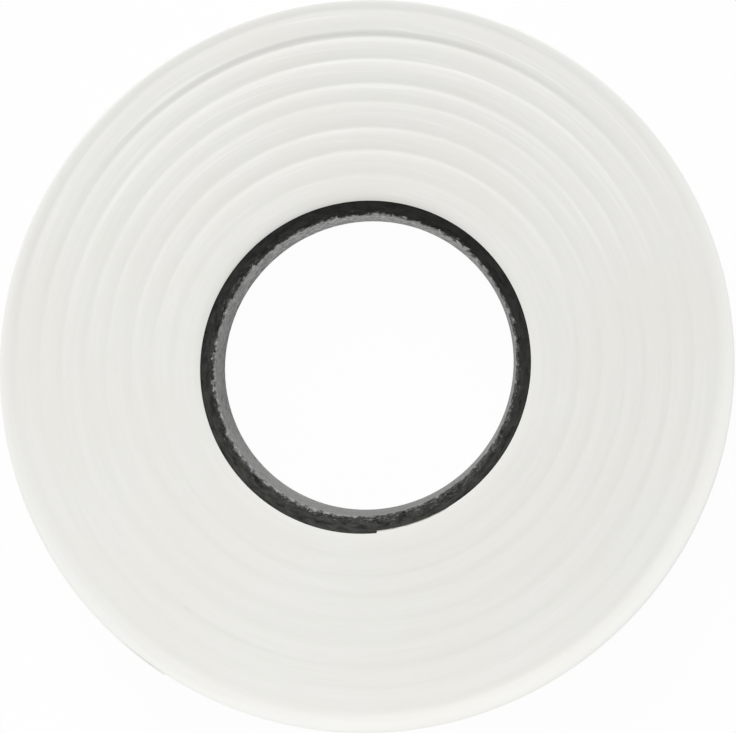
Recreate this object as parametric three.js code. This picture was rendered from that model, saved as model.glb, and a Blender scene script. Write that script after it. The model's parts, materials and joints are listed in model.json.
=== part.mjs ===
// A roll of white tying tape: one long plastic film wound on a short paper core that is open right through.
// The roll lies flat. Lengths are millimetres, and angles are degrees, anticlockwise from +X seen from above.
// The origin is on the roll's axis, in the plane that the roll lies on, and +Z is up.
import * as THREE from "three";

// The roll and its tape
const TAPE_WIDTH = 11; // from edge to edge of the film, and the length that the core is cut to
const ROLL_DIAMETER = 78; // across the outermost turn
const LOOPS = 24; // the film's many turns are drawn as this many, each for a handful of real ones
const LOOP_GAP = 0.43; // clear air between one loop and the next

// The tape's outer end, which lifts off the roll to start a length of tape
const FREE_END_ANGLE = 237; // where the tape is cut off
const FREE_END_LENGTH = 27; // from the cut back to the line where the film bends
const FREE_END_LIFT = 0.2; // how far the cut edge springs off the turn under it
const BEND_GAP = 0.3; // between the free end and the rest of the tape, at the bend

// The core: plies of paper and board, each rolled to a tube and glued inside the next
const CORE_BORE = 32; // clear bore that a dispenser's hub goes into
const LINER_THICKNESS = 0.3; // pale paper that lines the bore
const BOARD_THICKNESS = 0.42; // each of the two dark board plies that carry the load
const COVER_THICKNESS = 0.3; // dark paper round the outside
const GLUE_LINE = 0.05; // between one ply and the next
const BUTT_GAP = 0.4; // left open where the two edges of a ply meet
const LINER_SEAM_ANGLE = 152;
const INNER_BOARD_SEAM_ANGLE = 32;
const OUTER_BOARD_SEAM_ANGLE = 208;

// The cover's outer end lies over its own start, and the tape begins at the step that this leaves
const LAP_END_ANGLE = 274;
const LAP_LENGTH = 4; // how much of the cover lies double
const LAP_RAMP = 3; // stretch in which the cover climbs on to its own start
const LAP_STEP_GAP = 0.3; // from the step to the tape's inner end

// The strip of sticky tape that holds the film's inner end to the core
const TACK_LENGTH = 7;
const TACK_THICKNESS = 0.12;
const TACK_CLEARANCE = 0.1; // on each side of the strip, to the core and to the film

// Facets
const PLY_FACETS = 80; // around one ply of the core
const LOOP_FACETS = 45; // around one loop of the tape
const GAP_SAMPLES = 4; // points along each facet where the tape's gap to itself is measured

const FULL_TURN = 360;
const SAME_ANGLE = 1e-6; // two angles this close, in facets, are one
const radians = THREE.MathUtils.degToRad;
const degreesOfArc = (length, radius) => THREE.MathUtils.radToDeg(length / radius);

// Radii from the bore outwards
const linerInner = CORE_BORE / 2;
const innerBoardInner = linerInner + LINER_THICKNESS + GLUE_LINE;
const outerBoardInner = innerBoardInner + BOARD_THICKNESS + GLUE_LINE;
const coverInner = outerBoardInner + BOARD_THICKNESS + GLUE_LINE;
const coverOuter = coverInner + COVER_THICKNESS;
const tackInner = coverOuter + TACK_CLEARANCE;
const tapeInner = tackInner + TACK_THICKNESS + TACK_CLEARANCE;
const rollRadius = ROLL_DIAMETER / 2;

// The tape is a spiral that gains one pitch in every full turn. The two sides of the outermost turn are half
// a turn apart, so the roll's radius is the tape's a quarter of a turn before its cut end.
const tapeStart = LAP_END_ANGLE + degreesOfArc(LAP_STEP_GAP, coverOuter);
const wholeTurns = LOOPS + Math.floor((tapeStart - FREE_END_ANGLE) / FULL_TURN);
const tapeEnd = FREE_END_ANGLE + wholeTurns * FULL_TURN;
const tapeTurns = (tapeEnd - tapeStart) / FULL_TURN;
const loopPitch = (rollRadius - tapeInner + LOOP_GAP) / (tapeTurns - 1 / 4 + 1);
const loopThickness = loopPitch - LOOP_GAP;
const tapeInside = (angle) => tapeInner + (loopPitch * (angle - tapeStart)) / FULL_TURN;

// The film bends one free end's length short of the cut
const bendAngle = tapeEnd - degreesOfArc(FREE_END_LENGTH, rollRadius);
const freeEndStart = bendAngle + degreesOfArc(BEND_GAP, rollRadius);
const freeEndInside = (angle) => {
  const along = (angle - freeEndStart) / (tapeEnd - freeEndStart);
  return tapeInside(angle) + FREE_END_LIFT * along ** 2;
};

// Materials, in the colours of the photographed roll
const plastic = (name, color) => new THREE.MeshStandardMaterial({ name, color, roughness: 0.42, metalness: 0 });
const paper = (name, color) => new THREE.MeshStandardMaterial({ name, color, roughness: 0.92, metalness: 0 });
const whiteFilm = plastic("white_film", 0xe8e8e4);
const paleLinerPaper = paper("pale_liner_paper", 0x8f8f8d);
const darkBoard = paper("dark_board", 0x363633);
const darkCoverPaper = paper("dark_cover_paper", 0x2e2e2b);
const stickyTape = plastic("sticky_tape", 0xd9d3bd);

// A point of the roll's end view, from its polar place
function polar(radius, angle) {
  return new THREE.Vector2(radius * Math.cos(radians(angle)), radius * Math.sin(radians(angle)));
}

// The angles between a strip's facets: its two ends, and between them even steps counted from `grid`
function facetAngles(start, end, facetsPerTurn, grid = start) {
  const step = FULL_TURN / facetsPerTurn;
  const first = Math.floor((start - grid) / step + SAME_ANGLE) + 1;
  const last = Math.ceil((end - grid) / step - SAME_ANGLE) - 1;
  const between = Array.from({ length: last - first + 1 }, (_, i) => grid + (first + i) * step);
  return [start, ...between, end];
}

// Strip of even thickness that stands on edge, bent round the axis at the radius that `inside` gives:
// its end view runs out along the outer side and back along the inner side.
function bentStrip(inside, thickness, angles) {
  const outerSide = angles.map((angle) => polar(inside(angle) + thickness, angle));
  const innerSide = angles.map((angle) => polar(inside(angle), angle)).reverse();
  const endView = new THREE.Shape([...outerSide, ...innerSide]);
  return new THREE.ExtrudeGeometry(endView, { depth: TAPE_WIDTH, bevelEnabled: false });
}

// Ply of the core whose two edges meet in a butt seam
function buttedPly(innerRadius, thickness, seamAngle) {
  const halfGap = degreesOfArc(BUTT_GAP / 2, innerRadius);
  const angles = facetAngles(seamAngle + halfGap, seamAngle + FULL_TURN - halfGap, PLY_FACETS);
  return bentStrip(() => innerRadius, thickness, angles);
}

// Cover of the core, whose end climbs a ramp and lies over its own start
function lappedCover() {
  const climb = COVER_THICKNESS + GLUE_LINE;
  const end = LAP_END_ANGLE + FULL_TURN;
  const rampEnd = end - degreesOfArc(LAP_LENGTH, coverInner);
  const rampStart = rampEnd - degreesOfArc(LAP_RAMP, coverInner);
  const inside = (angle) => coverInner + climb * THREE.MathUtils.smoothstep(angle, rampStart, rampEnd);
  return bentStrip(inside, COVER_THICKNESS, facetAngles(rampEnd - FULL_TURN, end, PLY_FACETS));
}

// Strip of sticky tape between the core and the film's inner end
function tackStrip() {
  const end = tapeStart + degreesOfArc(TACK_LENGTH, tackInner);
  return bentStrip(() => tackInner, TACK_THICKNESS, facetAngles(tapeStart, end, PLY_FACETS));
}

// The facets of every loop lie on the same radial lines, which keeps the gap between loops even
const windingAngles = facetAngles(tapeStart, bendAngle, LOOP_FACETS);
const freeEndAngles = facetAngles(freeEndStart, tapeEnd, LOOP_FACETS, tapeStart);

// The tape's least gap to itself: from points along each facet's outer side to the facet one turn further out
function leastGap() {
  const corners = [...windingAngles, ...freeEndAngles].map((angle) => {
    const inside = angle < freeEndStart ? tapeInside(angle) : freeEndInside(angle);
    return { angle, inner: polar(inside, angle), outer: polar(inside + loopThickness, angle) };
  });
  const inSpace = (point) => new THREE.Vector3(point.x, point.y, 0);
  const nearest = new THREE.Vector3();
  let least = Infinity;
  let next = 1;
  for (let i = 0; i + 1 < corners.length; i++) {
    for (let sample = 0; sample < GAP_SAMPLES; sample++) {
      const share = sample / GAP_SAMPLES;
      const angle = THREE.MathUtils.lerp(corners[i].angle, corners[i + 1].angle, share) + FULL_TURN;
      while (next < corners.length && corners[next].angle < angle) next++;
      if (next === corners.length) return least;
      const point = inSpace(corners[i].outer.clone().lerp(corners[i + 1].outer, share));
      const facet = new THREE.Line3(inSpace(corners[next - 1].inner), inSpace(corners[next].inner));
      facet.closestPointToPoint(point, true, nearest);
      least = Math.min(least, point.distanceTo(nearest));
    }
  }
  return least;
}

function piece(name, geometry, material) {
  const mesh = new THREE.Mesh(geometry, material);
  mesh.name = name;
  return mesh;
}

const core = new THREE.Group();
core.add(
  piece("core_liner", buttedPly(linerInner, LINER_THICKNESS, LINER_SEAM_ANGLE), paleLinerPaper),
  piece("core_inner_board", buttedPly(innerBoardInner, BOARD_THICKNESS, INNER_BOARD_SEAM_ANGLE), darkBoard),
  piece("core_outer_board", buttedPly(outerBoardInner, BOARD_THICKNESS, OUTER_BOARD_SEAM_ANGLE), darkBoard),
  piece("core_cover", lappedCover(), darkCoverPaper),
  piece("core_tack_strip", tackStrip(), stickyTape),
);

const tape = new THREE.Group();
tape.add(
  piece("tape_winding", bentStrip(tapeInside, loopThickness, windingAngles), whiteFilm),
  piece("tape_free_end", bentStrip(freeEndInside, loopThickness, freeEndAngles), whiteFilm),
);

console.log(`tape: ${tapeTurns.toFixed(2)} turns, least gap to itself ${leastGap().toFixed(3)} mm`);

const roll = new THREE.Group();
roll.add(core, tape);

export default roll;
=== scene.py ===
# %% [markdown]
# # A roll of tying tape
# One long white plastic film is wound on a short paper core. Seen from above, the roll is a wide white
# ring of film edges round a thin dark ring, the cut end of the core. The solids of the part give the
# sizes and the places. This script gives each of them the surface of the real thing: the film with every
# turn of its winding, and a core whose paper was sawn and left a little ragged.

# %% Load the frame
import json

import bpy
import numpy as np
from mathutils import Matrix, Vector


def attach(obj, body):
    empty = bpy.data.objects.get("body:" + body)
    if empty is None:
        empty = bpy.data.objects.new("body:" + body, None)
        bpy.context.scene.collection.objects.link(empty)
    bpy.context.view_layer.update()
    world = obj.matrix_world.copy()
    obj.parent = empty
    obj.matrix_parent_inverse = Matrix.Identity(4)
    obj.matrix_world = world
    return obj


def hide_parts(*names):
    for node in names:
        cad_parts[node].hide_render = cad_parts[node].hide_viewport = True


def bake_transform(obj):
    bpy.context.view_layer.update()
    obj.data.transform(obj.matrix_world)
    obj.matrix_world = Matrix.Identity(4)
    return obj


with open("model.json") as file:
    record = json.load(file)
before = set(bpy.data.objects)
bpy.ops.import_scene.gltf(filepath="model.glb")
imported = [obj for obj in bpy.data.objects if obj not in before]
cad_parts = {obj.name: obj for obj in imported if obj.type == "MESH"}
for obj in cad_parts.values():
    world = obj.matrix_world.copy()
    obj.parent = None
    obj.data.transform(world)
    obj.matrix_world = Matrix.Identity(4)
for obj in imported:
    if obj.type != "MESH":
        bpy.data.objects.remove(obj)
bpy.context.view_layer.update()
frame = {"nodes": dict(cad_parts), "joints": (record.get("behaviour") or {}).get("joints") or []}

MM = 0.001
print("solids:", sorted(frame["nodes"]))

# %% [markdown]
# ## The camera
# The photograph looks down on the roll from nearly overhead. The bore gives the camera away: its far edge
# looks smaller than its near one, by as much as a lens about 25 cm above the face would make it, and it
# is shifted a little to the right, so the lens stood a little to the right of the roll's axis. A camera
# can be aimed by a constraint, but a matrix built from three axes is plain to read and leaves nothing
# live in the scene.

# %% Aim the camera
CAMERA_PLACE = (9.5, 1.0, 257.0)  # millimetres
CAMERA_TARGET = (0.3, -0.06, 11.0)
PICTURE_WIDTH = 78.18  # millimetres of the roll's upper face that the picture is wide
SENSOR_WIDTH = 36.0
PICTURE_UP = Vector((0, 1, 0))


def aimed(data, place, target):
    """Puts a camera or a lamp at a place, in millimetres, looking at a target: its z axis points back from
    it, its x axis is square to that and to the picture's upward direction, and its y axis to both."""
    thing = bpy.data.objects.new(data.name, data)
    back = (Vector(place) - Vector(target)).normalized()
    right = PICTURE_UP.cross(back).normalized()
    turn = Matrix((right, back.cross(right), back)).transposed()
    thing.matrix_world = Matrix.Translation(Vector(place) * MM) @ turn.to_4x4()
    bpy.context.collection.objects.link(thing)
    return thing


lens_to_face = (Vector(CAMERA_PLACE) - Vector(CAMERA_TARGET)).length
camera_data = bpy.data.cameras.new("camera")
camera_data.sensor_width = SENSOR_WIDTH
camera_data.lens = SENSOR_WIDTH * lens_to_face / PICTURE_WIDTH
bpy.context.scene.camera = aimed(camera_data, CAMERA_PLACE, CAMERA_TARGET)
bpy.context.scene.view_settings.view_transform = "Standard"
print(f"lens {camera_data.lens:.1f} mm, {lens_to_face:.0f} mm from the face")

# %% [markdown]
# ## Colours and nodes
# A colour is written as it looks on a screen, in sRGB, and the shaders want it linear, so one function
# turns the one into the other. A second one adds a node with its settings and links in a single line and
# hands on its output, which keeps each material below as short as a recipe.

# %% Helpers for colours and nodes
HEX_BASE = 16
HEX_MOST = 255
SRGB_KNEE = 0.04045  # up to here the curve is a straight line
SRGB_SLOPE = 12.92
SRGB_OFFSET = 0.055
SRGB_POWER = 2.4


def ink(code):
    """Linear colour of an sRGB hex code: the standard curve, a straight line near black, then a power."""
    value = np.array([int(code[i:i + 2], HEX_BASE) for i in (1, 3, 5)]) / HEX_MOST
    curve = ((value + SRGB_OFFSET) / (1 + SRGB_OFFSET)) ** SRGB_POWER
    linear = np.where(value <= SRGB_KNEE, value / SRGB_SLOPE, curve)
    return (*linear, 1.0)


def add(tree, kind, inputs=None, out=0, **settings):
    """Adds a node and returns one of its outputs, the first if no other is asked for, or all for None.
    Settings are the node's own properties; each input is a number, a colour or another node's output."""
    made = tree.nodes.new(kind)
    for key, value in settings.items():
        setattr(made, key, value)
    for key, value in (inputs or {}).items():
        if isinstance(value, bpy.types.NodeSocket):
            tree.links.new(value, made.inputs[key])
        else:
            made.inputs[key].default_value = value
    return made.outputs if out is None else made.outputs[out]


def blank(owner):
    """Empties the node tree of a material or a world, and returns it."""
    owner.use_nodes = True
    owner.node_tree.nodes.clear()
    return owner.node_tree


print("film white is linear", np.round(ink("#E9E9E5")[:3], 3))

# %% [markdown]
# ## The white room
# The roll was shot on white with a lot of light from all round, so nothing is in deep shade. An even
# world gives that light. One that looks white would light the roll too much, next to the lamps below. So
# a Light Path node tells apart the rays that see the room, which find it white, and the rays that gather
# light, which find it weaker.

# %% Make the world
WORLD_LEVEL = 0.488  # share of a white sheet's brightness that it gives
VALUE, FROM_LOW, FROM_HIGH, TO_LOW, TO_HIGH = range(5)  # the inputs of a Map Range node


def seen_directly(tree):
    """Is 1 for rays from the camera, mirrors and glass, and 0 for the rays that gather light."""
    ray = add(tree, "ShaderNodeLightPath", out=None)
    shiny = {0: ray["Is Glossy Ray"], 1: ray["Is Transmission Ray"]}
    both = {0: ray["Is Camera Ray"], 1: add(tree, "ShaderNodeMath", shiny, operation="ADD")}
    return add(tree, "ShaderNodeMath", both, operation="ADD", use_clamp=True)


def white_world():
    """Even light from all round, which is white where it is seen directly."""
    world = bpy.data.worlds.new("white_room")
    bpy.context.scene.world = world
    tree = blank(world)
    level = add(tree, "ShaderNodeMapRange", {VALUE: seen_directly(tree), TO_LOW: WORLD_LEVEL, TO_HIGH: 1.0})
    sky = add(tree, "ShaderNodeBackground", {"Strength": level})
    add(tree, "ShaderNodeOutputWorld", {"Surface": sky}, out=None)
    return world


world = white_world()
print(world.name, "of level", WORLD_LEVEL)

# %% [markdown]
# ## The floor
# The floor is a sheet of white background paper. Plain paper would come out a little grey and uneven, and
# a pure glow would take no shadow. So most of what the camera sees of it glows with a strength of 1,
# which is white, and the rest is paper that takes the roll's shadow.

# %% Lay the floor
FLOOR_SIDE = 4000  # millimetres
FLOOR_GLOW = 0.97  # share of the seen floor that glows


def white_background_paper():
    """Uncoated white paper: dull and even, and bright enough to lose its own edges."""
    material = bpy.data.materials.new("white_background_paper")
    tree = blank(material)
    sheet = add(tree, "ShaderNodeBsdfDiffuse", {"Color": ink("#DCDCDC")})
    glow = add(tree, "ShaderNodeEmission", {"Strength": 1.0})
    share = add(tree, "ShaderNodeMath", {0: seen_directly(tree), 1: FLOOR_GLOW}, operation="MULTIPLY")
    mix = add(tree, "ShaderNodeMixShader", {0: share, 1: sheet, 2: glow})
    add(tree, "ShaderNodeOutputMaterial", {"Surface": mix}, out=None)
    return material


def paper_floor():
    """Square sheet, flat on the ground, with the roll's axis in its middle."""
    half = FLOOR_SIDE * MM / 2
    mesh = bpy.data.meshes.new("floor")
    square = [(-half, -half, 0), (half, -half, 0), (half, half, 0), (-half, half, 0)]
    mesh.from_pydata(square, [], [(0, 1, 2, 3)])
    mesh.materials.append(white_background_paper())
    floor = bpy.data.objects.new("floor", mesh)
    bpy.context.collection.objects.link(floor)
    return floor


floor = paper_floor()
print(floor.name, FLOOR_SIDE, "mm square")

# %% [markdown]
# ## The light
# One broad soft light stood beyond the picture's top edge, so the ridges of the film show as faint bands.
# A white card close to the bottom edge throws some of that light back: the face is a little brighter
# there, and the bands are fainter. A sun would do for the first, but the card is so near that its light
# fades across the face, so both are square lamps. With the world, they are set so that a white sheet
# lying flat would come out just white.

# %% Make the lamps
# Azimuths and elevations are degrees, azimuths anticlockwise from the right of the picture. Distances and
# sizes are millimetres. A level is the share of a white sheet's brightness that the lamp gives.
KEY_LIGHT = {"azimuth": 103, "elevation": 45, "distance": 1600, "size": 900, "level": 0.45}
CARD_LIGHT = {"azimuth": 252, "elevation": 32, "distance": 160, "size": 110, "level": 0.075}


def soft_box(name, azimuth, elevation, distance, size, level):
    """Square lamp. P watts give flat paper at a distance d the share P sin(elevation) / (4 pi d^2) of a
    white sheet's brightness, so the watts are worked out from the level."""
    way, height = np.radians([azimuth, elevation])
    aside = np.cos(height)
    place = distance * np.array([aside * np.cos(way), aside * np.sin(way), np.sin(height)])
    lamp = bpy.data.lights.new(name, "AREA")
    lamp.size = size * MM
    lamp.energy = level * 4 * np.pi * (distance * MM) ** 2 / np.sin(height)
    return aimed(lamp, place, (0, 0, 0))


key = soft_box("soft_box", **KEY_LIGHT)
card = soft_box("white_card", **CARD_LIGHT)
print(f"soft box of {key.data.energy:.2f} W, white card of {card.data.energy:.3f} W")

# %% [markdown]
# ## Sizes from the solids
# Every piece below is a strip bent round the roll's axis, so what it needs from its solid is a distance
# from the axis, a height and an angle. They are measured on the solids' own corners, in millimetres and
# radians.

# %% Measure the solids
TURN = 2 * np.pi
SAME = 0.01  # millimetres in which two distances count as one
ROLL_RADIUS = 39.0  # half of the outermost turn's diameter


def corners_of(node):
    """Distance from the axis, angle from 0 to a full turn, and height of each corner of a solid."""
    mesh = frame["nodes"][node].data
    place = np.empty(3 * len(mesh.vertices), np.float32)
    mesh.vertices.foreach_get("co", place)
    x, y, z = place.astype(float).reshape(-1, 3).T / MM
    return np.hypot(x, y), np.arctan2(y, x) % TURN, z


liner_reach, _, liner_height = corners_of("core_liner")
cover_reach, cover_angle, _ = corners_of("core_cover")
hinge = frame["joints"][0]["pos_m"]

WIDTH = liner_height.max()
BORE = liner_reach.min()
INNER_BOARD = corners_of("core_inner_board")[0].min()
OUTER_BOARD = corners_of("core_outer_board")[0].min()
COVER_INSIDE = cover_reach.min()
FILM_START = cover_angle[cover_reach > cover_reach.max() - SAME].max()  # the cover's end leaves a step here
FILM_CUT = corners_of("tape_free_end")[1].max()
BEND = np.arctan2(hinge[1], hinge[0]) % TURN
print(f"bore {2 * BORE:.2f} mm, width {WIDTH:.2f} mm, film starts at {np.degrees(FILM_START):.1f} degrees,"
      f" bends at {np.degrees(BEND):.1f} and is cut at {np.degrees(FILM_CUT):.1f}")

# %% [markdown]
# ## Bent strips
# A strip that stands on edge and is bent round an axis is a section carried along a path. It could be a
# curve with a bevel, but here the section changes on its way, so the corners of all the sections are
# worked out as one array of distances and one of heights, and the faces join each corner to its
# neighbours.

# %% Helpers for strips
SHARP_EDGE = np.radians(38)  # a fold steeper than this is an edge, and a flatter one is shaded smooth


def smooth(value, start, end):
    """Rises from 0 at start to 1 at end, level at both."""
    share = np.clip((value - start) / (end - start), 0, 1)
    return share * share * (3 - 2 * share)


def bent_strip(name, angle, reach, height):
    """Closed skin of a strip bent round the axis. Row i of reach and height holds the corners of the
    section at angle[i], from the inner lower one outwards and round. A corner is joined to the next one of
    its section and to the same one of the next section. The first and last sections get a face each."""
    rows, corners = reach.shape
    across, up = np.cos(angle)[:, None], np.sin(angle)[:, None]
    points = np.stack([reach * across, reach * up, height], axis=-1) * MM
    place = np.arange(rows * corners).reshape(rows, corners)
    here, ahead = place[:-1], place[1:]
    around = [here, ahead, np.roll(ahead, -1, 1), np.roll(here, -1, 1)]
    quads = np.stack(around, axis=-1).reshape(-1, 4)
    loops = np.concatenate([quads.ravel(), place[0], place[-1][::-1]])
    sizes = np.concatenate([np.full(len(quads), 4), [corners, corners]])
    mesh = bpy.data.meshes.new(name)
    mesh.vertices.add(rows * corners)
    mesh.vertices.foreach_set("co", points.astype(np.float32).ravel())
    mesh.loops.add(len(loops))
    mesh.loops.foreach_set("vertex_index", loops.astype(np.int32))
    mesh.polygons.add(len(sizes))
    mesh.polygons.foreach_set("loop_start", (np.cumsum(sizes) - sizes).astype(np.int32))
    mesh.update(calc_edges=True)
    mesh.shade_smooth()
    mesh.set_sharp_from_angle(angle=SHARP_EDGE)
    return mesh


def mark(mesh, name, values):
    """Gives each corner of a strip a number that its material can read."""
    attribute = mesh.attributes.new(name, "FLOAT", "POINT")
    attribute.data.foreach_set("value", values.astype(np.float32).ravel())


def show(name, mesh, material, slot, *nodes):
    """Makes the piece that stands for these solids."""
    piece = bpy.data.objects.new(name, mesh)
    bpy.context.collection.objects.link(piece)
    mesh.materials.append(material)
    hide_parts(*nodes)
    print(f"{name}: {len(mesh.loops) - 2 * len(mesh.polygons)} triangles")
    return piece


print(f"edges are sharp from {np.degrees(SHARP_EDGE):.0f} degrees")

# %% [markdown]
# ## Slit plastic film
# The tape is soft PVC film, calendered thin and slit to width by knives. It is white with a grey-green
# cast, and the many slit edges side by side scatter light like satin. Film from one run isn't all one
# white: the face of the roll shows faint rings where the pull of the slitter changed. Fine bright streaks
# on it are painted highlights, on the side that the light comes from. A wave texture would draw rings that
# go all the way round. These come and go, so they are a noise that is drawn out round the axis.

# %% Draw a noise out into rings
RING_ARCS = 2.0  # a ring comes and goes about six times this often in a turn
RING_GRAIN = {"Scale": 1.0, "Detail": 3.0, "Roughness": 0.6}
FLAT = (1, 1, 0)  # a place times this is the same place without its height


def per_size(size):
    """Texture scale at which one grain of the pattern is about this size, in millimetres."""
    return 1 / (size * MM)


def ring_noise(tree, flat, spacing):
    """Noise that changes in a spacing, in millimetres, from ring to ring, and slowly on the way round: its
    place is the direction from the axis times the arcs, with the distance in spacings as its height."""
    reach = add(tree, "ShaderNodeVectorMath", {0: flat}, out="Value", operation="LENGTH")
    rings = add(tree, "ShaderNodeMath", {0: reach, 1: per_size(spacing)}, operation="MULTIPLY")
    height = add(tree, "ShaderNodeCombineXYZ", {2: rings})
    way = add(tree, "ShaderNodeVectorMath", {0: flat}, operation="NORMALIZE")
    spot = {0: way, 1: (RING_ARCS, RING_ARCS, 1), 2: height}
    arcs = add(tree, "ShaderNodeVectorMath", spot, operation="MULTIPLY_ADD")
    return add(tree, "ShaderNodeTexNoise", {"Vector": arcs, **RING_GRAIN})


print("rings come and go about", round(TURN * RING_ARCS), "times in a turn")

# %% [markdown]
# The white of the film is mixed in steps, each a Mix node from the colour so far to the next one: two
# whites from ring to ring, warm smudges where the roll was handled, and the bright streaks, painted
# highlights which show on the side that the light comes from.

# %% Tint the film
MIX_A, MIX_B = 6, 7  # the two colours that go into a Mix node; input 0 is the share of the second
COLOUR_MIX = {"out": 2, "data_type": "RGBA"}  # makes it mix colours, and picks the output that has them
FILM_RING = 0.6  # millimetres from one faint ring to the next
SMUDGE = 14.0  # millimetres across a smudge
SMUDGE_DETAIL = 3.0
SMUDGE_FROM = 0.45, 0.75  # height of the noise from no smudge to a full one
SMUDGE_SHARE = 0.5
STREAK = 0.35  # millimetres from one painted highlight streak to the next
STREAK_FROM = 0.56, 0.72  # height of the noise from no streak to a full one
STREAK_TOP = 30.0  # millimetres up the picture from the axis to where the painted highlight streaks are brightest
STREAK_SHARE = 0.6


def film_tint(tree, place, flat):
    """White that changes from ring to ring, warmer in smudges, and lighter in painted highlight streaks on
    the upper half.
    """
    ring = ring_noise(tree, flat, FILM_RING)
    whites = {0: ring, MIX_A: ink("#E4E4DF"), MIX_B: ink("#EFEEEA")}
    ringed = add(tree, "ShaderNodeMix", whites, **COLOUR_MIX)
    grain = {"Vector": place, "Scale": per_size(SMUDGE), "Detail": SMUDGE_DETAIL}
    clouds = add(tree, "ShaderNodeTexNoise", grain)
    limits = {VALUE: clouds, FROM_LOW: SMUDGE_FROM[0], FROM_HIGH: SMUDGE_FROM[1], TO_HIGH: SMUDGE_SHARE}
    smudge = add(tree, "ShaderNodeMapRange", limits)
    smudged = add(tree, "ShaderNodeMix", {0: smudge, MIX_A: ringed, MIX_B: ink("#E9E6E0")}, **COLOUR_MIX)
    # Painted highlight: the streaks are lighter towards the picture's top, where the light comes from.
    up = add(tree, "ShaderNodeSeparateXYZ", {0: place}, out="Y")
    most = add(tree, "ShaderNodeMapRange", {VALUE: up, FROM_HIGH: STREAK_TOP * MM, TO_HIGH: STREAK_SHARE})
    streaks = ring_noise(tree, flat, STREAK)
    limits = {VALUE: streaks, FROM_LOW: STREAK_FROM[0], FROM_HIGH: STREAK_FROM[1], TO_HIGH: most}
    streak = add(tree, "ShaderNodeMapRange", limits)
    return add(tree, "ShaderNodeMix", {0: streak, MIX_A: smudged, MIX_B: ink("#F8F8F5")}, **COLOUR_MIX)


print("faint rings every", FILM_RING, "mm, bright streaks every", STREAK, "mm")

# %% [markdown]
# Some of the film's light and shade is painted into its colour, by its place on the roll: painted shade
# down in a valley of the face, a painted highlight on a bright line beside it, and painted light at the
# rim, for light that comes through the outermost turns. The mesh carries the first two as an attribute, and
# the rim is a distance from the axis. One small place of the face is scuffed.

# %% Finish the film's material
GLOW_FROM = 37.5, 39.2  # millimetres from the axis to where the rim's painted light begins and is most
GLOW_SHARE = 0.5
SCUFF = {  # where its oval lies, how it is turned and how big it is
    "Location": (-18.96 * MM, -25.8 * MM, 0),
    "Rotation": (0, 0, np.radians(-36)),
    "Scale": (0.55 * MM, 0.25 * MM, 1),
}
SCUFF_HEART = 0.3  # share of the scuff that is evenly grey
SCUFF_SHARE = 0.7
FILM_IOR = 1.53
FILM_ROUGHNESS = 0.42
DIMPLE = 1.6  # millimetres across a dimple of the film's broad side
DIMPLE_DETAIL = 2.0
DIMPLE_DEPTH = 0.01  # millimetres
DIMPLE_STRENGTH = 0.3


def film_shade(tree, tint, flat):
    """The tint turned to grey, as painted shade, where the attribute is below 0 and to light, as a painted
    highlight, where it is above, then lighter at the rim as painted light, and grey again in the scuff, an
    ellipse that a Mapping node makes out of a circle."""
    tone = add(tree, "ShaderNodeAttribute", out="Fac", attribute_name="tone")
    # Painted shade: greyer in the valleys and next to the core, where the attribute is below 0.
    valley_shade = add(tree, "ShaderNodeMapRange", {VALUE: tone, FROM_HIGH: -1.0})
    greyed = add(tree, "ShaderNodeMix", {0: valley_shade, MIX_A: tint, MIX_B: ink("#DEDED9")}, **COLOUR_MIX)
    # Painted highlight: lighter on the bright lines, where the attribute is above 0.
    gleam = add(tree, "ShaderNodeMapRange", {VALUE: tone, FROM_HIGH: 1.0})
    edged = add(tree, "ShaderNodeMix", {0: gleam, MIX_A: greyed, MIX_B: ink("#FAFAF7")}, **COLOUR_MIX)
    # Painted light: lighter at the rim, for light that comes through the outer turns.
    reach = add(tree, "ShaderNodeVectorMath", {0: flat}, out="Value", operation="LENGTH")
    rim = {VALUE: reach, FROM_LOW: GLOW_FROM[0] * MM, FROM_HIGH: GLOW_FROM[1] * MM, TO_HIGH: GLOW_SHARE}
    glow = add(tree, "ShaderNodeMapRange", rim, interpolation_type="SMOOTHSTEP")
    glowing = add(tree, "ShaderNodeMix", {0: glow, MIX_A: edged, MIX_B: ink("#F6F6F3")}, **COLOUR_MIX)
    circle = add(tree, "ShaderNodeMapping", {"Vector": flat, **SCUFF}, vector_type="TEXTURE")
    from_scuff = add(tree, "ShaderNodeVectorMath", {0: circle}, out="Value", operation="LENGTH")
    limits = {VALUE: from_scuff, FROM_LOW: SCUFF_HEART, TO_LOW: SCUFF_SHARE, TO_HIGH: 0.0}
    scuff = add(tree, "ShaderNodeMapRange", limits)
    return add(tree, "ShaderNodeMix", {0: scuff, MIX_A: glowing, MIX_B: ink("#DEDED9")}, **COLOUR_MIX)


def slit_pvc_film():
    """White satin plastic, tinted and shaded as above, with shallow dimples that soften what it mirrors."""
    material = bpy.data.materials.new("slit_pvc_film")
    tree = blank(material)
    place = add(tree, "ShaderNodeTexCoord", out="Object")
    flat = add(tree, "ShaderNodeVectorMath", {0: place, 1: FLAT}, operation="MULTIPLY")
    white = film_shade(tree, film_tint(tree, place, flat), flat)
    grain = {"Vector": place, "Scale": per_size(DIMPLE), "Detail": DIMPLE_DETAIL}
    dimples = add(tree, "ShaderNodeTexNoise", grain)
    relief = {"Strength": DIMPLE_STRENGTH, "Distance": DIMPLE_DEPTH * MM, "Height": dimples}
    dimpled = add(tree, "ShaderNodeBump", relief)
    shader = {"Base Color": white, "Roughness": FILM_ROUGHNESS, "IOR": FILM_IOR, "Normal": dimpled}
    surface = add(tree, "ShaderNodeBsdfPrincipled", shader)
    add(tree, "ShaderNodeOutputMaterial", {"Surface": surface}, out=None)
    return material


film = slit_pvc_film()
print(film.name, "with", len(film.node_tree.nodes), "nodes")

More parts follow.
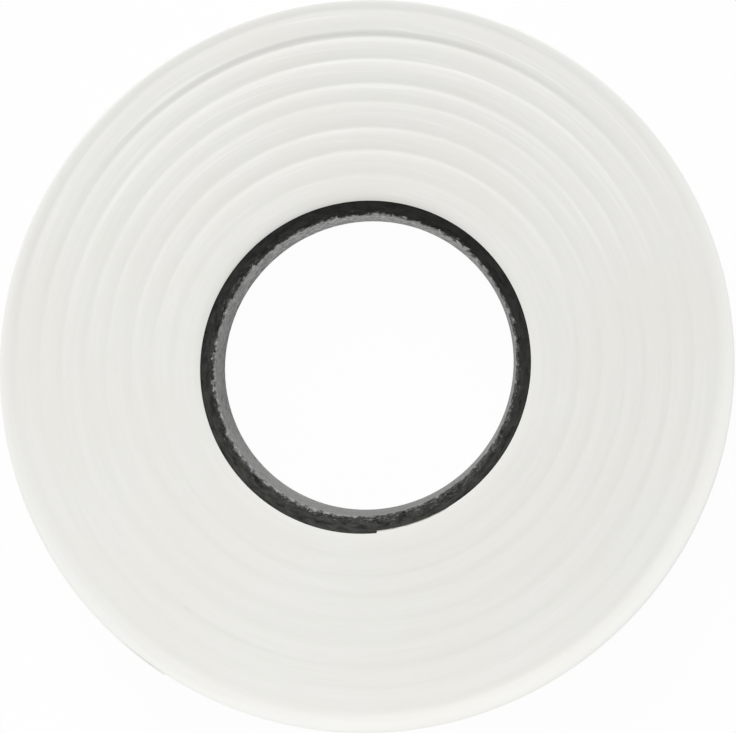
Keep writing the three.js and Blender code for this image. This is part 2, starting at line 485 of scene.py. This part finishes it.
# %% [markdown]
# ## The winding
# The film starts at the core, at the step where the core's cover ends, and runs outwards for some 140
# turns. It could be faked as a ring with painted lines. Here it is the real thing, one unbroken strip,
# because its edges are what the eye reads on the face of the roll: each turn lies on the one below, so
# the bump of the cover's lap can be followed outwards until it fades, and the whole roll is a little
# oval, as a core that was squeezed is.

# %% Follow the film outwards
FILM_THICKNESS = 0.15
FILM_AIR = 0.002  # millimetres between one turn and the next
COVER_THICKNESS = 0.28
LAP_LENGTH = 4.0  # of the cover that lies double
LAP_RAMP = 24.0  # in which the cover climbs on to its own start
STRIP_LENGTH = 7.0  # of the sticky strip that holds the film's inner end
STRIP_FADE = 1.5  # in which the film comes down off the sticky strip
LAP_FADE = 26  # turns in which the bump of the lap fades to about a third
OVAL = 0.215  # millimetres that the roll is longer and shorter than round, each way
OVAL_ANGLE = np.radians(43)
DRIFT = 0.02, -0.05  # millimetres that the outermost turn is off the core's middle, to the right and up

CORE_RADIUS = COVER_INSIDE + COVER_THICKNESS
STRIP_THICKNESS = COVER_THICKNESS - FILM_THICKNESS
whole_turns = int((ROLL_RADIUS - CORE_RADIUS) / FILM_THICKNESS)
FILM_TURNS = whole_turns + (FILM_CUT - FILM_START) / TURN
BEND_TURNS = whole_turns + (BEND - FILM_START) / TURN
# The two sides of the outermost turn are half a turn apart, so the roll's radius is that of the film's
# outer side a quarter of a turn before its cut end. The outer side is the inner side of the next turn.
TO_RADIUS = 1 - 1 / 4  # in turns
PITCH = (ROLL_RADIUS + FILM_AIR - CORE_RADIUS) / (FILM_TURNS + TO_RADIUS)


def out_of_round(angle):
    """How far the oval stands out from a circle: two swells and two hollows in a turn."""
    return OVAL * np.cos(2 * (angle - OVAL_ANGLE))


def lap_bump(share):
    """Height of what the first turn lies on, at a share of its way round: the sticky strip, then the bare
    core, then the lap. A spiral's even climb is taken off, because this turn lies flat on the core."""
    way = share * TURN * CORE_RADIUS
    full = TURN * CORE_RADIUS
    strip = STRIP_THICKNESS * (1 - smooth(way, STRIP_LENGTH, STRIP_LENGTH + STRIP_FADE))
    lap = COVER_THICKNESS * smooth(way, full - LAP_LENGTH - LAP_RAMP, full - LAP_LENGTH)
    return strip + lap - PITCH * share


def film_inside(turns):
    """Distance from the axis to the film's inner side, so many turns from its start: the core, one pitch a
    turn, the bump of the lap, which fades, the oval, and a drift to one side, which grows."""
    angle = FILM_START + TURN * turns
    climb = PITCH * turns
    bump = lap_bump(turns % 1) * np.exp(-turns / LAP_FADE)
    sideways = DRIFT[0] * np.cos(angle) + DRIFT[1] * np.sin(angle)
    drift = sideways * climb / (ROLL_RADIUS - CORE_RADIUS)
    return CORE_RADIUS + climb + bump + out_of_round(angle) + drift


print(f"{FILM_TURNS:.2f} turns at a pitch of {PITCH:.4f} mm, {BEND_TURNS:.2f} of them up to the bend")

# %% [markdown]
# The face of the roll isn't flat. As it was wound, the film wandered from side to side by about a tenth
# of a millimetre, turned back now and then, and left rounded ridges with sharp valleys between them. The
# valleys are rings, and those half-way out are a little off the middle.

# %% Place the valleys of the face
# All lengths are millimetres.
VALLEYS = (20.3, 22.7, 25.04, 27.68, 29.72, 32.39, 34.72, 37.2)  # from the axis, read off the photograph
VALLEY_SHIFTS = (0.0, 0.0, 0.0, 0.1, 0.0, 0.0, 0.08, 0.7)  # off the middle, to the picture's top
VALLEY_DEPTHS = (0.03, 0.092, 0.088, 0.06, 0.094, 0.096, 0.082, 0.05)
VALLEY_FADE_IN = 0.4  # in which a valley fades out, on the core's side
VALLEY_FADE_OUT = 0.75  # the same on the rim's side
VALLEY_ROUND = 0.18  # by which its bottom is rounded
RING_SHIFT = 0.38  # that all rings half-way out are off the middle, to the picture's top


def valley(distance):
    """Shape of a valley, 1 at its bottom: it fades out quickly to the core and slowly to the rim."""
    rounded = np.sqrt(distance ** 2 + VALLEY_ROUND ** 2) - VALLEY_ROUND
    return np.exp(-rounded / np.where(distance < 0, VALLEY_FADE_IN, VALLEY_FADE_OUT))


def ring_place(reach, angle):
    """Distance from the axis that a place would have if the rings half-way out weren't off the middle: the
    shift is a parabola, with 0 at the core and at the rim."""
    out = np.clip((reach - CORE_RADIUS) / (ROLL_RADIUS - CORE_RADIUS), 0, 1)
    return reach - RING_SHIFT * 4 * out * (1 - out) * np.sin(angle)


def from_valleys(reach, angle):
    """How far a place is outside of each valley's bottom, as a list."""
    at = ring_place(reach, angle)
    return [at - middle - shift * np.sin(angle) for middle, shift in zip(VALLEYS, VALLEY_SHIFTS)]


print(len(VALLEYS), "valleys, up to", max(VALLEY_DEPTHS), "mm deep")

# %% [markdown]
# So each turn is shifted along the axis by a height that depends on its distance from the core, and both
# of its edges take a slant that follows the ridge. The light comes from the picture's top, and there the
# valleys are cut deepest and one of them has a ledge. The outermost stretch rises like a lip.

# %% Raise the edges of the film
DEEP_ANGLE = np.radians(105)  # where the valleys are deepest
SHALLOW = 0.3  # their depth on the far side, as a share
LEDGE = 34.72, 35.52  # millimetres from the axis to the foot and the top of a step up
LEDGE_RISE = 0.16
LEDGE_ANGLE = np.radians(95)
LEDGE_SPREAD = np.radians(46)  # from its highest place to where it is down to a third
CORE_DIP = 0.3  # millimetres that the edges drop next to the core
CORE_DIP_FADE = 0.5
LIP_FOOT = 36.9
LIP_DELAY = 0.5  # how much further out the lip begins where the valleys are deepest
LIP_TOP = 38.8
LIP_RISE = 0.17
LIP_TILT = 0.6  # share of that rise by which it is higher at one angle and lower at the opposite one
LIP_ANGLE = np.radians(300)
RIM_ROUND = 0.04
RIM_ROUND_START = 38.7
FACE_OFFSET = 0.33  # lifts the lowest edge on to the floor


def core_dip(reach):
    """Is 1 at the core and fades outwards."""
    return np.exp(-(reach - CORE_RADIUS) / CORE_DIP_FADE)


def edge_rise(reach, angle):
    """Height of the film's edge: all valleys added up and taken off, deeper at the picture's top than at
    its bottom, a dip next to the core, a ledge at the top and a lip with a rounded rim."""
    at = ring_place(reach, angle)
    top = (1 + np.cos(angle - DEEP_ANGLE)) / 2
    share = SHALLOW + (1 - SHALLOW) * top
    drop = sum(depth * valley(gap) for depth, gap in zip(VALLEY_DEPTHS, from_valleys(reach, angle)))
    from_ledge = (angle - LEDGE_ANGLE + np.pi) % TURN - np.pi
    ledge = LEDGE_RISE * np.exp(-((from_ledge / LEDGE_SPREAD) ** 2)) * smooth(at, *LEDGE)
    tilt = 1 + LIP_TILT * np.cos(angle - LIP_ANGLE)
    lip = LIP_RISE * tilt * smooth(at, LIP_FOOT + LIP_DELAY * top, LIP_TOP)
    rim = RIM_ROUND * smooth(reach, RIM_ROUND_START, ROLL_RADIUS) ** 2
    return FACE_OFFSET - (drop + CORE_DIP * core_dip(reach)) * share + ledge + lip - rim


print(f"the lip is up to {edge_rise(ROLL_RADIUS, LIP_ANGLE) - FACE_OFFSET:.2f} mm high at the rim")

# %% [markdown]
# A valley only a tenth of a millimetre deep hardly shades itself, yet on the roll it is greyer than the
# ridges, and beside it runs a bright line. Both are painted: shade in the valleys and next to the core,
# and a highlight on the line. The material could work out where, but the mesh knows already. So it carries
# a number for each corner, below 0 for painted shade and above 0 for painted highlights and light.

# %% Tone the edges of the film
# Painted shade in the valleys and next to the core, painted light in the outer turns, painted highlights
# beside the valleys.
HOLLOW_SHADE = 0.22
HOLLOW_SIDES = 0.65  # share of that tone to the left and the right
SHINE_TONE = 0.22  # of the painted light, for light that comes through the outer turns where the lip is highest
SHINE_FROM = 31.5, 35.5  # millimetres from the axis to where it begins and where it is full
GLEAM_TONE = 0.38
GLEAM_AHEAD = 0.25  # millimetres from a valley to its bright line, on the core's side
GLEAM_WIDTH = 0.22
GLEAM_RISE = tuple(np.radians([10, 30]))  # angles in which the bright lines come up
GLEAM_FALL = tuple(np.radians([138, 170]))  # and in which they go
GLEAM_LEFT_OUT = 0.75  # share of them that is left out where the slope catches the light


def bright_line(gap):
    """Is 1 on the painted highlight beside a valley and falls off like a bell on both sides."""
    return np.exp(-(((gap + GLEAM_AHEAD) / GLEAM_WIDTH) ** 2))


def edge_tone(reach, angle):
    """Tint of the film's edge: below 0, to grey as painted shade, in the valleys and next to the core, and
    above 0, to light as a painted highlight, on a bright line beside each valley, which runs along the
    upper half of the picture and is left out where the slope itself catches the light. Painted light, for
    light that comes through the film, makes the outer turns lighter, on the side where the lip is highest."""
    gaps = from_valleys(reach, angle)
    # Painted shade in the valleys and next to the core, less to the left and the right.
    hollows = sum(valley(gap) for gap in gaps) + core_dip(reach)
    grey = HOLLOW_SHADE * hollows * (HOLLOW_SIDES + (1 - HOLLOW_SIDES) * np.cos(angle - LEDGE_ANGLE) ** 2)
    # Painted light in the outer turns, where the lip is highest.
    shine = SHINE_TONE * smooth(reach, *SHINE_FROM) * np.maximum(np.cos(angle - LIP_ANGLE), 0) ** 2
    # Painted highlights: a bright line beside each valley, along the picture's upper half.
    turned = angle % TURN
    arc = smooth(turned, *GLEAM_RISE) * (1 - smooth(turned, *GLEAM_FALL))
    aside = 1 - GLEAM_LEFT_OUT * np.maximum(np.cos(angle - DEEP_ANGLE), 0) ** 2
    lines = sum(depth * bright_line(gap) for depth, gap in zip(VALLEY_DEPTHS, gaps))
    return GLEAM_TONE * lines / max(VALLEY_DEPTHS) * arc * aside + shine - grey


print(f"tone next to the core {edge_tone(CORE_RADIUS, LEDGE_ANGLE):.2f}")

# %% [markdown]
# Now the film can be wound. A section of it has four corners, and the outer side of one turn is the inner
# side of the next less a little air, so no turn ever cuts into another. A small random shift of each turn
# keeps the face from looking turned on a lathe.

# %% Wind the film
FILM_STEPS = 160  # sections in each turn
WANDER = 0.004  # millimetres that a turn is shifted, about
WANDER_SEED = 5

winding_wander = np.abs(np.random.default_rng(WANDER_SEED).normal(0, WANDER, whole_turns + 2))


def film_strip(name, turns, lift):
    """The film between two places of its way, given in turns: its outer side is the inner side of the next
    turn less the air between them, and lift moves it away from the roll."""
    angle = FILM_START + TURN * turns
    inside = film_inside(turns) + lift
    outside = film_inside(turns + 1) - FILM_AIR + lift
    wander = np.interp(turns, np.arange(whole_turns + 2), winding_wander)
    even = CORE_RADIUS + PITCH * (turns[:, None] + [0, 1])
    low = edge_rise(even, angle[:, None]) + wander[:, None]
    reach = np.stack([inside, outside, outside, inside], axis=1)
    mesh = bent_strip(name, angle, reach, np.concatenate([low, low[:, ::-1] + WIDTH], axis=1))
    tone = edge_tone(even, angle[:, None])
    mark(mesh, "tone", np.concatenate([tone, tone[:, ::-1]], axis=1))
    return mesh


wound_turns = np.linspace(0, BEND_TURNS, int(BEND_TURNS * FILM_STEPS) + 1)
wound_film = film_strip("film_winding", wound_turns, 0)
winding = show("film_winding", wound_film, film, "white_film", "tape_winding")
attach(winding, "roll")

# %% [markdown]
# ## The free end
# The last stretch of film isn't held down by anything: its cut end springs off the roll by a hair, which
# shows as a thin grey line along the rim. It bends up to start a length, so it is a piece of its own.

# %% Make the free end
FREE_STEPS = 120
END_LIFT = 0.024  # millimetres that the film stands off most, a little before its cut end
LIFT_START = 0.74  # share of the free end that still lies on the roll
LIFT_MOST = 0.93
LIFT_LEFT = 0.4  # share of the lift at the cut end itself

free_turns = np.linspace(BEND_TURNS, FILM_TURNS, FREE_STEPS + 1)
free_share = np.linspace(0, 1, FREE_STEPS + 1)
come_down = 1 - (1 - LIFT_LEFT) * smooth(free_share, LIFT_MOST, 1)
end_lift = END_LIFT * smooth(free_share, LIFT_START, LIFT_MOST) * come_down
free_mesh = film_strip("film_free_end", free_turns, end_lift)
free_end = show("film_free_end", free_mesh, film, "white_film", "tape_free_end")
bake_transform(free_end)

# %% [markdown]
# ## Sawn board and paper
# The core is a paper tube, sawn to length. A saw leaves the cut rough: torn fibres stand up as light
# flecks, mostly along the way that the saw went, which is round the tube. Plain Object coordinates would
# draw the grain straight through the tube, so it gets coordinates of its own, which follow the tube:
# distance from the axis, way round and height.

# %% Helpers for paper
FIBRE_GRAIN = {"Detail": 5.0, "Roughness": 0.65}
PAPER_BUMP = 0.05  # millimetres that fibres stand up
PAPER_BUMP_STRENGTH = 0.6
PAPER_ROUGHNESS = 0.95
PAPER_SHINE = 0.15


def round_the_tube(tree, stretch):
    """Place on the core as distance from the axis, way round times a stretch, and height."""
    place = add(tree, "ShaderNodeTexCoord", out="Object")
    part = add(tree, "ShaderNodeSeparateXYZ", {0: place}, out=None)
    flat = add(tree, "ShaderNodeVectorMath", {0: place, 1: FLAT}, operation="MULTIPLY")
    reach = add(tree, "ShaderNodeVectorMath", {0: flat}, out="Value", operation="LENGTH")
    angle = add(tree, "ShaderNodeMath", {0: part["Y"], 1: part["X"]}, operation="ARCTAN2")
    way = add(tree, "ShaderNodeMath", {0: angle, 1: CORE_RADIUS * MM * stretch}, operation="MULTIPLY")
    return add(tree, "ShaderNodeCombineXYZ", {0: reach, 1: way, 2: part["Z"]})


def across_core(tree, direction):
    """Is 0 on one side of the core and 1 on the other, towards a direction."""
    place = add(tree, "ShaderNodeTexCoord", out="Object")
    along = {0: place, 1: direction}
    towards = add(tree, "ShaderNodeVectorMath", along, out="Value", operation="DOT_PRODUCT")
    limits = {VALUE: towards, FROM_LOW: -CORE_RADIUS * MM, FROM_HIGH: CORE_RADIUS * MM}
    return add(tree, "ShaderNodeMapRange", limits)


def matt_finish(tree, colour, fibres):
    """Paper without any coating: fibres stand up, and hardly anything is mirrored."""
    relief = {"Strength": PAPER_BUMP_STRENGTH, "Distance": PAPER_BUMP * MM, "Height": fibres}
    rough = add(tree, "ShaderNodeBump", relief)
    shader = {"Base Color": colour, "Roughness": PAPER_ROUGHNESS, "Specular IOR Level": PAPER_SHINE}
    surface = add(tree, "ShaderNodeBsdfPrincipled", {**shader, "Normal": rough})
    add(tree, "ShaderNodeOutputMaterial", {"Surface": surface}, out=None)


print(f"a core {2 * CORE_RADIUS:.2f} mm across, {TURN * CORE_RADIUS:.1f} mm round")

# %% [markdown]
# The plies of the tube are grey board dyed nearly black all through. The cut is painted lighter in
# patches, most of them towards the picture's bottom, as painted light. Torn fibres show as light flecks,
# fewer towards the picture's top. Both are noises that follow the tube: the painted light has a coarse
# grain and goes over into the dark softly, and a fleck begins where a fine grain is high. The cover round
# the outside is the same paper with hardly any flecks.

# %% Make the dark papers
BOARD_FIBRE = 0.16  # millimetres across a bundle of fibres; single ones are finer than a pixel
FIBRE_STRETCH = 0.3  # across for along
FLECK_EDGE = 0.2  # rise of the noise from no fleck to a full one
FLECK_FAR_SIDE = 0.1  # how much higher the noise has to be for a fleck on the side away from the painted light
BOARD_FLECK = 0.46, 0.7  # height of the noise from which there are flecks: at the bore, at the outside
COVER_FLECK = 0.6, 0.6
PAINTED_LIGHT_SIDE = (-0.34, -0.94, 0)  # towards the picture's bottom and a little to the left
PAINTED_LIGHT_GRAIN = 0.45  # millimetres across a patch of painted light
PAINTED_LIGHT_FROM = 0.3, 0.6  # height of the noise from no painted light to most
PAINTED_LIGHT_LEAST = 0.3  # share of the painted light that lies on the far side too


def dyed_paper(name, unlit_colour, painted_light_colour, fleck, fleck_from):
    """Dark matt paper, with patches of painted light towards the picture's bottom, and light flecks of torn
    fibre.
    """
    material = bpy.data.materials.new(name)
    tree = blank(material)
    place = round_the_tube(tree, FIBRE_STRETCH)
    painted_light_side = across_core(tree, PAINTED_LIGHT_SIDE)
    grain = {"Vector": place, "Scale": per_size(PAINTED_LIGHT_GRAIN), **FIBRE_GRAIN}
    clouds = add(tree, "ShaderNodeTexNoise", grain)
    # Painted light: the dark paper is lighter in patches, most of them towards the picture's bottom.
    most = add(tree, "ShaderNodeMapRange", {VALUE: painted_light_side, TO_LOW: PAINTED_LIGHT_LEAST, TO_HIGH: 1.0})
    limits = {VALUE: clouds, FROM_LOW: PAINTED_LIGHT_FROM[0], FROM_HIGH: PAINTED_LIGHT_FROM[1], TO_HIGH: most}
    painted_light = add(tree, "ShaderNodeMapRange", limits)
    ground = add(tree, "ShaderNodeMix", {0: painted_light, MIX_A: ink(unlit_colour), MIX_B: ink(painted_light_colour)}, **COLOUR_MIX)
    fibres = add(tree, "ShaderNodeTexNoise", {**grain, "Scale": per_size(BOARD_FIBRE)})
    reach = add(tree, "ShaderNodeSeparateXYZ", {0: place}, out="X")
    wall = {VALUE: reach, FROM_LOW: BORE * MM, FROM_HIGH: CORE_RADIUS * MM}
    least = add(tree, "ShaderNodeMapRange", {**wall, TO_LOW: fleck_from[0], TO_HIGH: fleck_from[1]})
    fleck_raise = add(tree, "ShaderNodeMapRange", {VALUE: painted_light_side, TO_LOW: FLECK_FAR_SIDE, TO_HIGH: 0.0})
    start = add(tree, "ShaderNodeMath", {0: least, 1: fleck_raise}, operation="ADD")
    end = add(tree, "ShaderNodeMath", {0: start, 1: FLECK_EDGE}, operation="ADD")
    flecks = add(tree, "ShaderNodeMapRange", {VALUE: fibres, FROM_LOW: start, FROM_HIGH: end})
    colour = add(tree, "ShaderNodeMix", {0: flecks, MIX_A: ground, MIX_B: ink(fleck)}, **COLOUR_MIX)
    matt_finish(tree, colour, fibres)
    return material


# Colours: the paper's own, the same with painted light, and the flecks.
dyed_board = dyed_paper("sawn_dyed_board", "#181816", "#454542", "#858583", BOARD_FLECK)
cover_paper = dyed_paper("dyed_cover_paper", "#1E1E1C", "#464643", "#4C4C49", COVER_FLECK)
print(dyed_board.name, cover_paper.name)

# %% [markdown]
# The bore is lined with a paler paper. Its wall is smooth, and its sawn edge is torn, with dark fibres of
# the board dragged over it. So the same material has two looks, told apart by the height, and there are
# more fibres towards the outer end of the torn edge, which the mesh marks with an attribute.

# %% Make the liner's paper
LINER_FIBRE = 0.34  # millimetres across a bundle
LINER_STRETCH = 0.5  # across for along
LINER_SHADE_SIDE = (0.17, -0.98, 0)  # towards the picture's bottom, where the wall is painted darker as shade; it is painted lighter on the other side
LINER_TORN_SIDE = (0.87, -0.5, 0)  # towards the picture's right and bottom, where the saw tore most
LINER_EDGE = 0.66, 0.5  # millimetres below the face to the end of the smooth wall, and to the torn edge
WALL_FLECK = 0.43, 0.54  # height of the noise from which there are dark fibres: painted light side, painted shade side
EDGE_FLECK = 0.45, 0.36  # and on the torn edge: where it is nearly whole, where it is torn most
TORN_FROM = 0.6, 0.95  # shares of the way across the core in which the one goes over into the other
FRAY = 0.15  # how much lower that height is at the outer end of the torn edge, where it frays out


def grey_liner_paper():
    """Pale grey matt paper: the wall is painted lighter towards the picture's top and darker, as painted
    shade, towards its bottom, the torn edge is an even grey, and dark fibres lie on both where a noise is
    high."""
    material = bpy.data.materials.new("grey_liner_paper")
    tree = blank(material)
    place = round_the_tube(tree, LINER_STRETCH)
    height = add(tree, "ShaderNodeSeparateXYZ", {0: place}, out="Z")
    levels = [(WIDTH - below) * MM for below in LINER_EDGE]
    edge = add(tree, "ShaderNodeMapRange", {VALUE: height, FROM_LOW: levels[0], FROM_HIGH: levels[1]})
    # Painted light and shade: the wall is lighter towards the picture's top and darker towards its bottom.
    shade_side = across_core(tree, LINER_SHADE_SIDE)
    sides = {0: shade_side, MIX_A: ink("#F0F0EF"), MIX_B: ink("#868685")}
    wall = add(tree, "ShaderNodeMix", sides, **COLOUR_MIX)
    paper = add(tree, "ShaderNodeMix", {0: edge, MIX_A: wall, MIX_B: ink("#A6A6A5")}, **COLOUR_MIX)
    torn_side = across_core(tree, LINER_TORN_SIDE)
    limits = {VALUE: torn_side, FROM_LOW: TORN_FROM[0], FROM_HIGH: TORN_FROM[1]}
    torn = add(tree, "ShaderNodeMapRange", limits)
    limits = {VALUE: shade_side, TO_LOW: WALL_FLECK[0], TO_HIGH: WALL_FLECK[1]}
    on_wall = add(tree, "ShaderNodeMapRange", limits)
    on_edge = add(tree, "ShaderNodeMapRange", {VALUE: torn, TO_LOW: EDGE_FLECK[0], TO_HIGH: EDGE_FLECK[1]})
    outwards = add(tree, "ShaderNodeAttribute", out="Fac", attribute_name="outwards")
    frayed = add(tree, "ShaderNodeMath", {0: outwards, 1: -FRAY, 2: on_edge}, operation="MULTIPLY_ADD")
    start = add(tree, "ShaderNodeMapRange", {VALUE: edge, TO_LOW: on_wall, TO_HIGH: frayed})
    end = add(tree, "ShaderNodeMath", {0: start, 1: FLECK_EDGE}, operation="ADD")
    grain = {"Vector": place, "Scale": per_size(LINER_FIBRE), **FIBRE_GRAIN}
    fibres = add(tree, "ShaderNodeTexNoise", grain)
    flecks = add(tree, "ShaderNodeMapRange", {VALUE: fibres, FROM_LOW: start, FROM_HIGH: end})
    colour = add(tree, "ShaderNodeMix", {0: flecks, MIX_A: paper, MIX_B: ink("#4E4E4D")}, **COLOUR_MIX)
    matt_finish(tree, colour, fibres)
    return material


liner_paper = grey_liner_paper()
print(liner_paper.name)

# %% [markdown]
# ## The torn edge of the liner
# The line between the pale liner and the dark board isn't clean either: the saw pulled the soft liner
# outwards over the board in some places and tore it back in others. One ragged function of the angle says
# how far, and both the liner and the board follow it, so that they stay fitted to each other.

# %% Tear the edge of the liner
TEAR_LENGTHS = (3.1, 1.6, 0.6, 0.28)  # millimetres from tooth to tooth, coarse to fine
TEAR_REACHES = (0.2, 0.38, 0.2, 0.1)  # millimetres that the highest of them reach
TEAR_BACK = 0.2  # millimetres that the liner is torn back where the teeth are low
TEAR_MORE = 0.18  # millimetres more at the picture's upper left and lower right
TEAR_MORE_ANGLE = np.radians(125)
TEAR_MOST = 0.36  # millimetres that it is torn back at most
TEAR_SEED = 11
PLY_STEPS = 2400  # sections round a ply


def saw_teeth(angle, spacing, rng):
    """Teeth of random height, each steep on one side and sloping down to the next, as a saw leaves them."""
    count = int(TURN * CORE_RADIUS / spacing)
    along = angle % TURN * count / TURN
    tooth = along.astype(int) % count
    return rng.random(count)[tooth] * (1 - along % 1)


def liner_tear(angle):
    """How far the liner's torn edge is pulled outwards: teeth of four sizes added up, less what was torn
    back, which is more at two opposite places."""
    rng = np.random.default_rng(TEAR_SEED)
    sizes = zip(TEAR_LENGTHS, TEAR_REACHES)
    teeth = sum(reach * saw_teeth(angle, length, rng) for length, reach in sizes)
    back = TEAR_BACK + TEAR_MORE * np.cos(angle - TEAR_MORE_ANGLE) ** 2
    return np.maximum(teeth - back, -TEAR_MOST)


sample_tear = liner_tear(np.linspace(0, TURN, PLY_STEPS))
print(f"the liner's edge runs from {sample_tear.min():.2f} to {sample_tear.max():.2f} mm of the board's")

# %% [markdown]
# ## The plies of the core
# From the bore outwards: the pale liner, two plies of board, and the cover, whose end lies over its own
# start. Each is a strip of its own, as on the real tube, bent round until its ends meet. A ply's sawn
# edge has several corners across, so that it can be rough.

# %% Helpers for sawn plies
CUT_GRAIN = 0.05  # millimetres that the sawn face is rough
CUT_SLOPE = 0.3  # millimetres that the cut is lower for each one nearer to the bore
GRAIN_LENGTH = 0.3  # millimetres from one ragged height to the next
SEAM_GAP = 0.01  # millimetres between the two ends of a ply
SEAM_DIGITS = 4  # of an angle in radians that tell two corners apart


def ragged(angle, spacing, rng):
    """Random heights from 0 to 1, one for each such step round the core, joined by straight lines."""
    count = int(TURN * CORE_RADIUS / spacing)
    return np.interp(angle, np.arange(count) * TURN / count, rng.random(count), period=TURN)


def seam_of(node):
    """Middle of the narrowest gap between the angles of a ply's corners, where its two ends meet."""
    angle = np.unique(corners_of(node)[1].round(SEAM_DIGITS))
    gap = np.diff(np.append(angle, angle[0] + TURN))
    seam = gap.argmin()
    return (angle[seam] + gap[seam] / 2) % TURN


def round_from(seam, reach):
    """Angles once round, from one side of a seam to the other."""
    half_gap = SEAM_GAP / 2 / reach
    return np.linspace(seam + half_gap, seam + TURN - half_gap, PLY_STEPS)


def sawn_ply(name, angle, reach, seed):
    """Ply whose two sawn edges are rough: a row of reach holds the corners across both. Each column of
    corners gets its own ragged line, and the upper cut slopes down to the bore."""
    rng = np.random.default_rng(seed)
    columns = reach.shape[1]
    grain = np.stack([ragged(angle, GRAIN_LENGTH, rng) for _ in range(2 * columns)], axis=1) * CUT_GRAIN
    low = grain[:, :columns]
    high = WIDTH - CUT_SLOPE * (CORE_RADIUS - reach) - grain[:, columns:]
    both = np.concatenate([reach, reach[:, ::-1]], axis=1) + out_of_round(angle)[:, None]
    return bent_strip(name, angle, both, np.concatenate([low, high[:, ::-1]], axis=1))


print(f"the cut is {CUT_SLOPE * (CORE_RADIUS - BORE):.2f} mm lower at the bore than outside")

# %% [markdown]
# The liner and the inner board share the ragged line. The cover is longer than one turn: near its end it
# climbs a ramp on to its own start and leaves a step, which is where the film begins.

# %% Make the plies
PLY_COLUMNS = 7  # corners across a sawn edge
LAP_STEP = 0.05  # millimetres in which the inside of the cover climbs its own start
LINER_SEED, INNER_SEED, OUTER_SEED, COVER_SEED = 21, 22, 23, 24

across = np.linspace(0, 1, PLY_COLUMNS)


def torn_liner():
    """Liner: its sawn edges are pulled out over the board, or torn back from it, by the tear."""
    angle = round_from(seam_of("core_liner"), BORE)
    tear = liner_tear(angle)[:, None]
    mesh = sawn_ply("liner", angle, BORE + (INNER_BOARD - BORE + tear) * across, LINER_SEED)
    mark(mesh, "outwards", np.tile(np.append(across, across[::-1]), PLY_STEPS))
    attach(show("liner", mesh, liner_paper, "liner_paper", "core_liner"), "roll")


def board_ply(name, node, inside, outside, follows_tear, seed):
    """Board from inside to outside; the inner ply's sawn edges reach in where the liner is torn back."""
    angle = round_from(seam_of(node), inside)
    torn_back = np.minimum(liner_tear(angle), 0) * follows_tear
    start = inside + torn_back[:, None]
    mesh = sawn_ply(name, angle, start + (outside - start) * across, seed)
    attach(show(name, mesh, dyed_board, "core_board", node), "roll")


def lapped_cover():
    """Cover: near its end it climbs a ramp, which glue fills up inside, and lies over its own start."""
    lap = LAP_LENGTH / CORE_RADIUS
    ramp = LAP_RAMP / CORE_RADIUS
    angle = np.linspace(FILM_START - lap, FILM_START + TURN, PLY_STEPS)
    over = FILM_START + TURN - lap
    outside = COVER_THICKNESS * (1 + smooth(angle, over - ramp, over))[:, None]
    inside = COVER_THICKNESS * smooth(angle, over - LAP_STEP / CORE_RADIUS, over)[:, None]
    mesh = sawn_ply("cover", angle, COVER_INSIDE + inside + (outside - inside) * across, COVER_SEED)
    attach(show("cover", mesh, cover_paper, "cover_paper", "core_cover"), "roll")


torn_liner()
board_ply("inner_board", "core_inner_board", INNER_BOARD, OUTER_BOARD, True, INNER_SEED)
board_ply("outer_board", "core_outer_board", OUTER_BOARD, COVER_INSIDE, False, OUTER_SEED)
lapped_cover()

# %% [markdown]
# ## The sticky strip
# Something has to hold the film's inner end while the first turn goes on: a short strip of white tissue
# coated with glue, as paper and film mills use to start a roll. Only its edge could ever show, between
# the core and the film, and its far end is pressed thin where the film comes down on to the core.

# %% Make the sticky strip
STRIP_STEPS = 80
STRIP_MARGIN = 0.1  # millimetres that it is narrower than the film, on each side
TISSUE_CLOUD = 1.5  # millimetres across a cloud of the tissue's fibres
TISSUE_DETAIL = 3.0
TISSUE_ROUGHNESS = 0.4
GLUE_IOR = 1.5


def glued_tissue():
    """Tissue paper soaked with glue: warm white, a little cloudy, and slightly shiny."""
    material = bpy.data.materials.new("glue_coated_tissue")
    tree = blank(material)
    place = add(tree, "ShaderNodeTexCoord", out="Object")
    grain = {"Vector": place, "Scale": per_size(TISSUE_CLOUD), "Detail": TISSUE_DETAIL}
    clouds = add(tree, "ShaderNodeTexNoise", grain)
    whites = {0: clouds, MIX_A: ink("#E9E8E2"), MIX_B: ink("#E0DED4")}
    colour = add(tree, "ShaderNodeMix", whites, **COLOUR_MIX)
    shader = {"Base Color": colour, "Roughness": TISSUE_ROUGHNESS, "IOR": GLUE_IOR}
    surface = add(tree, "ShaderNodeBsdfPrincipled", shader)
    add(tree, "ShaderNodeOutputMaterial", {"Surface": surface}, out=None)
    return material


def sticky_strip():
    """Thin strip between the cover and the film's first stretch: as thick as the step of the lap leaves
    room for, and thinner to nothing where the film comes down."""
    way = np.linspace(SEAM_GAP, STRIP_LENGTH + STRIP_FADE, STRIP_STEPS)
    angle = FILM_START + way / CORE_RADIUS
    inside = CORE_RADIUS + FILM_AIR + out_of_round(angle)
    thickness = STRIP_THICKNESS * (1 - smooth(way, STRIP_LENGTH, STRIP_LENGTH + STRIP_FADE))
    outside = inside + np.maximum(thickness - 2 * FILM_AIR, FILM_AIR)
    reach = np.stack([inside, outside, outside, inside], axis=1)
    low, high = STRIP_MARGIN, WIDTH - STRIP_MARGIN
    height = np.broadcast_to([low, low, high, high], reach.shape)
    mesh = bent_strip("sticky_strip", angle, reach, height)
    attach(show("sticky_strip", mesh, glued_tissue(), "sticky_tape", "core_tack_strip"), "roll")


sticky_strip()
